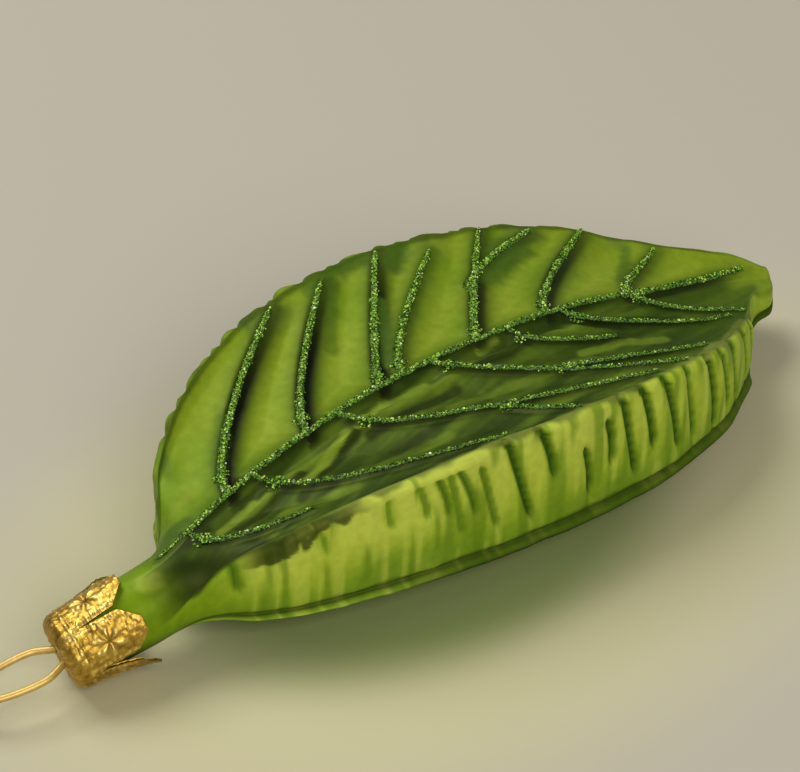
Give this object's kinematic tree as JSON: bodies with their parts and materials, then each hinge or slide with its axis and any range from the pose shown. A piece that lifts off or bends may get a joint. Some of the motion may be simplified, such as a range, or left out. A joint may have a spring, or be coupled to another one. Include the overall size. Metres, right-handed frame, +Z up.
{
  "type": "blown-glass leaf ornament",
  "caption": "Leaf-shaped hollow blown-glass tree ornament, green with glittered veins, gold crown cap and wire hanger loop.",
  "frame": {"origin": "middle of the whole part's box, on the surface that it lies on", "axes": "+X from the hanger loop to the leaf's tip, +Y across the leaf, +Z up out of its veined face"},
  "size_m": [0.1264, 0.047, 0.0217],
  "materials": {
    "green_lacquered_glass": "satin pearl lacquer on blown glass, opaque",
    "green_glitter": "fine glitter in clear glue",
    "gold_sheet": "thin stamped sheet, embossed, gilt",
    "pale_gold_wire": "satin drawn wire, gilt"
  },
  "bodies": {
    "root": {"leaf_glass": "green_lacquered_glass", "glitter_veins": "green_glitter", "crown_cap": "gold_sheet", "hanger_wire": "pale_gold_wire"}
  },
  "joints": []
}
